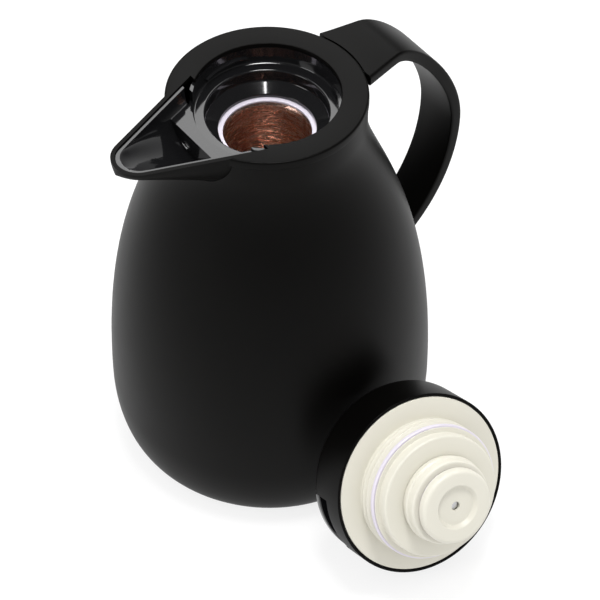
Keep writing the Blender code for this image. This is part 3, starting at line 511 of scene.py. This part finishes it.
# ---- mouth seal
# A ring of milky silicone that sits over the glass lip and is squeezed up against the funnel.
# It is moulded soft, so all its edges are round.
silicone, tree, shader = material("milky silicone", (0.62, 0.58, 0.66), 0.32)
link(noise(tree, 120, 3) * 0.12 + 0.26, shader, "Roughness")
bump(noise(tree, 700, 2), shader, 0.12, 0.00005)
skirt = 0.0245
seal = turned("silicone_mouth_seal", corners([
    (LIP, lip_top, 0.0004), (LEDGE + FUNNEL_WALL, lip_top, 0.0006),
    (LEDGE + FUNNEL_WALL, lip_top - 0.008, 0.0005),
    (skirt, lip_top - 0.008, 0.0005), (skirt, lip_top - 0.0012), (LIP, lip_top - 0.0012, 0.0004)]))
smooth(seal)
finished(seal, silicone, "jug", "clear_silicone", "mouth_seal")


# ---- base
# The base is a separate black moulding, screwed up into the shell to hold the liner. A ring stands on the
# table, and a bar across the recess inside it gives fingers a grip.
STAND = 0.0545
base = turned("screw_base", corners([
    (0, 0.0035), (STAND, 0.0035, 0.0004), (STAND + 0.0005, 0, 0.0005), (FOOT, 0, 0.0004),
    (foot_radius + 0.0002, FLANGE, 0.0003), (0.060, FLANGE), (0.060, 0.0123), (0.058, 0.0123),
    (0.058, 0.0057), (0, 0.0057)]))
reach = STAND + 0.0003
bar = prism("grip bar", [(-reach, -0.006), (reach, -0.006), (reach, 0.006), (-reach, 0.006)], 0.0002, 0.0045)
apply_modifier(bar, "BEVEL", width=0.0008, segments=3)
combine(base, "UNION", bar)
smooth(base)
finished(base, matte_black, "jug", "matte_black", "base_cap")


# ---- handle
# A wide strap of the same satin plastic: it leaves the rim flat, arches over and runs back into the belly,
# and grows narrower from the rim to its reach. It stops at the rim's edge; the tongue that hooks it in under
# the rim is left out.
THICK = 0.0056
REACH_Z = 0.142
FOOT_Z = 0.083
reach_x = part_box("handle")[1][0] - THICK / 2
strap_top = HEIGHT - THICK / 2
crest = (RIM + 0.016, strap_top + 0.0006)
start = (RIM - 0.002, strap_top)
drop, fall = crest[1] - REACH_Z, REACH_Z - FOOT_Z
belly_at_foot = next(radius for radius, z in side if z > FOOT_Z)
foot = (belly_at_foot - 0.001, FOOT_Z)
line = bezier(start, (start[0] + 0.006, strap_top), (crest[0] - 0.005, crest[1]), crest, 6)
farthest = (reach_x, REACH_Z)
crest_pull = (crest[0] + 0.012, crest[1] - 0.0005)
line += bezier(crest, crest_pull, (reach_x, REACH_Z + 0.45 * drop), farthest, 24)[1:]
to_reach = len(line) - 1
foot_pull = (foot[0] + 0.016, foot[1] + 0.013)
line += bezier(farthest, (reach_x, REACH_Z - 0.42 * fall), foot_pull, foot, 24)[1:]


def strap_width(index):
    if index > to_reach:
        return 0.0235 - 0.0015 * (index - to_reach) / (len(line) - 1 - to_reach)
    share = min((line[index][0] - start[0]) / (0.8 * (reach_x - start[0])), 1)
    return 0.037 - 0.0135 * (1.5 * share - 0.5 * share ** 3)


def lean(index):
    """Angle of the strap's line at one of its points."""
    before, after = line[max(index - 1, 0)], line[min(index + 1, len(line) - 1)]
    return math.atan2(after[1] - before[1], after[0] - before[0])


half, thick = strap_width(0) / 2, THICK / 2
section = corners([(a * half, b * thick, 0.0016) for a, b in ((1, 1), (1, -1), (-1, -1), (-1, 1))], 6)
handle = draw("strap_handle", [(line[0][0], y, line[0][1] + z) for y, z in section])
bpy.ops.mesh.edge_face_add()
for i in range(1, len(line)):
    here = (line[i][0], 0, line[i][1])
    step = (line[i][0] - line[i - 1][0], 0, line[i][1] - line[i - 1][1])
    bpy.ops.mesh.extrude_region_move(TRANSFORM_OT_translate={"value": step})
    bpy.ops.transform.rotate(value=lean(i) - lean(i - 1), orient_axis="Y", center_override=here)
    bpy.ops.transform.resize(value=(1, strap_width(i) / strap_width(i - 1), 1), center_override=here)
close_up()
clear = [(radius + GAP, z) for radius, z in side if z < HEIGHT - 0.008]
keep_out = [(0, clear[0][1])] + clear
keep_out += [(RIM + GAP, HEIGHT - 0.006), (RIM + GAP, HEIGHT + 0.01), (0, HEIGHT + 0.01)]
combine(handle, "DIFFERENCE", turned("room for the shell", keep_out))
smooth(handle, 40)
finished(handle, matte_black, "jug", "matte_black", "handle")


# ---- lid cap
# The loose lid's black cap, in the lid's own frame: underside at z 0, lever end towards +X. It is a thin
# satin moulding with a well across its top, open through the skirt where the lever's end shows.
LID = 0.0424
LID_TALL = 0.023
hinge_local = Vector((-0.027, 0, LID_TALL - 0.0042))
side_axis = Vector(joints["lever_press"]["axis"])
up_axis = -Vector(joints["valve_travel"]["axis"])
lid_turn = Matrix((side_axis.cross(up_axis), side_axis, up_axis)).transposed()
lid_origin = Vector(joints["lever_press"]["pos_m"]) - lid_turn @ hinge_local
lid_place = Matrix.Translation(lid_origin) @ lid_turn.to_4x4()


def well_outline(inset, start, end):
    near, far = (0.011 + (x + 0.033) * 0.0055 / 0.0754 - inset for x in (start, end))
    return [(start, -near), (end, -far), (end, far), (start, near)]


skirt_in = LID - 0.0013
roof = LID_TALL - 0.0018
cap = turned("lid_shell", corners([
    (skirt_in, 0, 0.0003), (LID, 0, 0.0004), (LID, LID_TALL, 0.0035), (0, LID_TALL), (0, roof),
    (skirt_in, roof, 0.001)]))
tray = prism("tray", well_outline(-0.0014, -0.0344, LID - 0.0006), 0.0098, LID_TALL - 0.0005)
disc_room = [(0, 0), (LID - 0.0005, 0), (LID - 0.0005, LID_TALL), (0, LID_TALL)]
combine(tray, "INTERSECT", turned("round", disc_room))
combine(cap, "UNION", tray)
combine(cap, "DIFFERENCE", prism("well", well_outline(0, -0.033, LID + 0.01), 0.0112, LID_TALL + 0.01))
pocket_room = [(0, 0.005), (0.0066, 0.005), (0.0066, 0.013), (0, 0.013)]
pocket = [(0.0079, 0.0034), (0.0079, 0.0105), (0.0066, 0.0112), (0.0066, 0.0048), (0.0026, 0.0048),
          (0.0026, 0.0034)]
combine(cap, "DIFFERENCE", turned("pocket room", pocket_room, 48))
combine(cap, "UNION", turned("pocket", pocket, 48))
smooth(cap)
place(cap, lid_place)
finished(cap, matte_black, "lid", "matte_black", "lid_cap")


# ---- press lever
# A polished black lever, flush with the lid's top. It turns on a pin at its narrow end, and its wide end
# shows through the skirt as a glossy block.
lever = prism("lever", well_outline(0.0006, -0.0324, LID + 0.004), LID_TALL - 0.0036, LID_TALL - 0.0002)
ring = [(LID - 0.0006, 0), (LID + 0.02, 0), (LID + 0.02, LID_TALL + 0.01), (LID - 0.0006, LID_TALL + 0.01)]
combine(lever, "DIFFERENCE", turned("outside", ring))
apply_modifier(lever, "BEVEL", width=0.0005, segments=3, limit_method="ANGLE")
smooth(lever)
place(lever, lid_place)
finished(lever, gloss_black, "lever", "gloss_black", "press_lever")


# ---- stopper
# The lid's underside is one warm white moulding: a disc, and a threaded boss with a pouring port in its
# side. It steps in to a narrower end and is faintly scuffed by use.
warm_white, tree, shader = material("warm white plastic", (0.62, 0.60, 0.52), 0.42)
tone = noise(tree, 24, 3)
link(tone.mix((0.60, 0.58, 0.50), (0.64, 0.62, 0.545)), shader, "Base Color")
link(noise(tree, 180, 4) * 0.14 + 0.34, shader, "Roughness")
bump(noise(tree, 1500, 2), shader, 0.15, 0.00004)

BOSS = 0.0306
BOSS_DEEP = 0.0175
STEP_Z = -0.0125
profile = [(0.0025, 0.0018), (skirt_in - GAP, 0.0018), (skirt_in - GAP, 0, 0.0005), (BOSS, 0, 0.0008)]
for ridge in (1, 2):
    z = -0.0032 * ridge
    profile += [(BOSS, z + 0.0012), (BOSS + 0.0011, z + 0.0004, 0.0003), (BOSS + 0.0011, z - 0.0004, 0.0003),
                (BOSS, z - 0.0012)]
band = STEP_Z + 0.0006
profile += [(BOSS, band + 0.0028, 0.0002), (BOSS - 0.0012, band + 0.0028), (BOSS - 0.0012, band),
            (BOSS, band, 0.0002), (BOSS, STEP_Z, 0.0004), (0.0284, STEP_Z, 0.0004),
            (0.0284, -BOSS_DEEP, 0.0012), (0.0140, -BOSS_DEEP), (0.0140, -0.0155), (0.0264, -0.0155),
            (0.0264, -0.0004), (0.0025, -0.0004)]
stopper = turned("white_stopper", corners(profile))
port_outline = [(-0.0346, -0.012), (-0.0224, -0.012), (-0.0224, 0.012), (-0.0346, 0.012)]
port = prism("port", port_outline, -0.00905, -0.00345)
combine(stopper, "DIFFERENCE", port)
smooth(stopper)
place(stopper, lid_place)
finished(stopper, warm_white, "lid", "warm_white", "stopper_body")


# ---- stopper seal
# A ring of the same silicone in the boss's last groove, which makes the lid tight in the well.
ring_seal = turned("stopper_ring", corners([
    (BOSS - 0.0009, band + GAP), (BOSS + 0.0009, band + GAP, 0.0009), (BOSS + 0.0009, band + 0.0025, 0.0009),
    (BOSS - 0.0009, band + 0.0025)]))
smooth(ring_seal)
place(ring_seal, lid_place)
finished(ring_seal, silicone, "lid", "clear_silicone", "stopper_seal")


# ---- valve housing
# A white cup snapped into the boss's end; a small ridge runs round it, and its mouth is the valve's seat.
HOUSING = 0.0195
SEAT_Z = -0.0262
top = -BOSS_DEEP - GAP
housing = turned("white_housing", corners([
    (0.0117, -0.0135), (0.0137, -0.0135), (0.0137, top), (HOUSING, top, 0.0003), (HOUSING, top - 0.002),
    (HOUSING + 0.0006, top - 0.0026, 0.0003), (HOUSING + 0.0006, top - 0.0034, 0.0003),
    (HOUSING, top - 0.004), (HOUSING, SEAT_Z, 0.0012), (0.0125, SEAT_Z), (0.0125, SEAT_Z + 0.002),
    (0.0175, SEAT_Z + 0.002),
    (0.0175, top - 0.002), (0.0117, top - 0.002)]))
smooth(housing)
place(housing, lid_place)
finished(housing, warm_white, "lid", "warm_white", "valve_housing")


# ---- valve disc
# The white disc that closes the seat from below: a thick rounded rim, a dished middle and a vent hole.
face = SEAT_Z - 0.0014
low = face - 0.0046
disc = turned("white_valve_disc", corners([
    (0.0025, SEAT_Z + 0.004), (0.0042, SEAT_Z + 0.004), (0.0042, face), (0.0172, face, 0.0004),
    (0.0172, low, 0.0022), (0.0102, low, 0.0010), (0.0086, low + 0.0020, 0.0008),
    (0.0020, low + 0.0020, 0.0003), (0.0020, low + 0.0032), (0.0025, low + 0.0032)], 8))
smooth(disc)
place(disc, lid_place)
finished(disc, warm_white, "valve", "warm_white", "valve_disc")


# ---- return spring
# A cylindrical spring of drawn steel wire round the valve's stem, between the cap's pocket and the head
# of the stem. In use it is squeezed shorter as the lever is pressed; here it is built at one length and
# rides with the lid.
steel, tree, shader = material("drawn steel", (0.60, 0.60, 0.61), 0.28, 1.0)
link(noise(tree, 900, 3, (1, 1, 0.08)) * 0.22 + 0.18, shader, "Roughness")

COIL = 0.0038
WIRE = 0.0006
TURNS = 4
SPRING_LOW = 0.0057
SPRING_HIGH = 0.0166
steps = TURNS * 20
wire = []
for step in range(8):
    angle = math.tau * step / 8
    wire.append((COIL + WIRE * math.cos(angle), 0, SPRING_LOW + WIRE * math.sin(angle)))
spring = draw("wire_spring", wire)
bpy.ops.mesh.edge_face_add()
for step in range(steps):
    rise = {"value": (0, 0, (SPRING_HIGH - SPRING_LOW) / steps)}
    bpy.ops.mesh.extrude_region_move(TRANSFORM_OT_translate=rise)
    bpy.ops.transform.rotate(value=-math.tau / 20, orient_axis="Z", center_override=(0, 0, 0))
close_up()
smooth(spring, 60)
place(spring, lid_place)
finished(spring, steel, "lid", "steel", "return_spring")
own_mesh(spring)


# ---- small parts kept as they are
# The pieces inside the jug and the lid, and the pins and screws, keep the frame's own shapes and
# get the finish of what they are made of.
dark_rubber, tree, shader = material("black rubber", (0.022, 0.022, 0.022), 0.75)
link(noise(tree, 300, 4) * 0.2 + 0.62, shader, "Roughness")
bump(noise(tree, 1400, 3), shader, 0.3, 0.0001)
foam, tree, shader = material("grey foam", (0.26, 0.26, 0.26), 0.95)
cells = node(tree, "ShaderNodeTexVoronoi", {"Vector": where(tree), "Scale": 900})
link(cells.mix((0.16, 0.16, 0.16), (0.32, 0.32, 0.32)), shader, "Base Color")
bump(cells, shader, 0.6, 0.0003)
mica, tree, shader = material("mica", (0.60, 0.57, 0.50), 0.5)
flakes = noise(tree, 400, 5, (1, 1, 6))
link(flakes.mix((0.46, 0.43, 0.36), (0.70, 0.68, 0.62)), shader, "Base Color")
link(flakes * 0.4 + 0.25, shader, "Roughness")

KEPT = {"base_seal": dark_rubber, "liner_pad": dark_rubber, "shoulder_ring": foam, "valve_seal": silicone,
        "liner_outer_flask": copper_mirror, "liner_spacer_1": mica, "liner_spacer_2": mica,
        "liner_spacer_3": mica, "handle_screw": steel, "handle_washer": steel, "lever_pin": steel,
        "valve_stem": steel}
for name, look in KEPT.items():
    nodes[name].data.materials.clear()
    nodes[name].data.materials.append(look)


# ---- floor and light
# A white table that glows a little, so shadows on it stay faint, in a white room. A large soft box stands
# behind the jug, where the flat rim mirrors it, with smaller ones on the left and above the mouth.
bpy.ops.mesh.primitive_plane_add(size=8)
floor = bpy.context.object
floor.name = "floor"
table, tree, shader = material("white table", (0.90, 0.90, 0.90), 0.9)
shader.inputs["Specular IOR Level"].default_value = 0
shader.inputs["Emission Color"].default_value = (1, 1, 1, 1)
shader.inputs["Emission Strength"].default_value = 0.78
shader.inputs["Base Color"].default_value = (0.24, 0.24, 0.24, 1)
floor.data.materials.append(table)

world = bpy.data.worlds.new("room")
world.use_nodes = True
tree = world.node_tree
background = tree.nodes["Background"]
glossy = node(tree, "ShaderNodeLightPath", output=3)
height = node(tree, "ShaderNodeSeparateXYZ", {"Vector": node(tree, "ShaderNodeTexCoord")}, 2)
dimmer = height * -1.7 + 0.85
dimmer = dimmer.math("MAXIMUM", dimmer, 0.06)
link(1.0 - glossy + glossy * dimmer, background, "Strength")
background.inputs["Color"].default_value = (1, 1, 1, 1)
bpy.context.scene.world = world


def softbox(name, location, size, energy):
    bpy.ops.object.light_add(type="AREA", location=location)
    lamp = bpy.context.object
    lamp.name = name
    lamp.data.size = size
    lamp.data.energy = energy
    lamp.rotation_euler = (Vector(location) - Vector((0, 0, 0.1))).to_track_quat("Z", "Y").to_euler()


softbox("behind", (0.62, 0.85, 1.15), 0.9, 8)
softbox("left", (-1.3, 0.15, 0.75), 0.5, 4)
softbox("above", (0.0, -0.10, 1.30), 0.30, 9)

bpy.context.scene.view_settings.view_transform = "Standard"
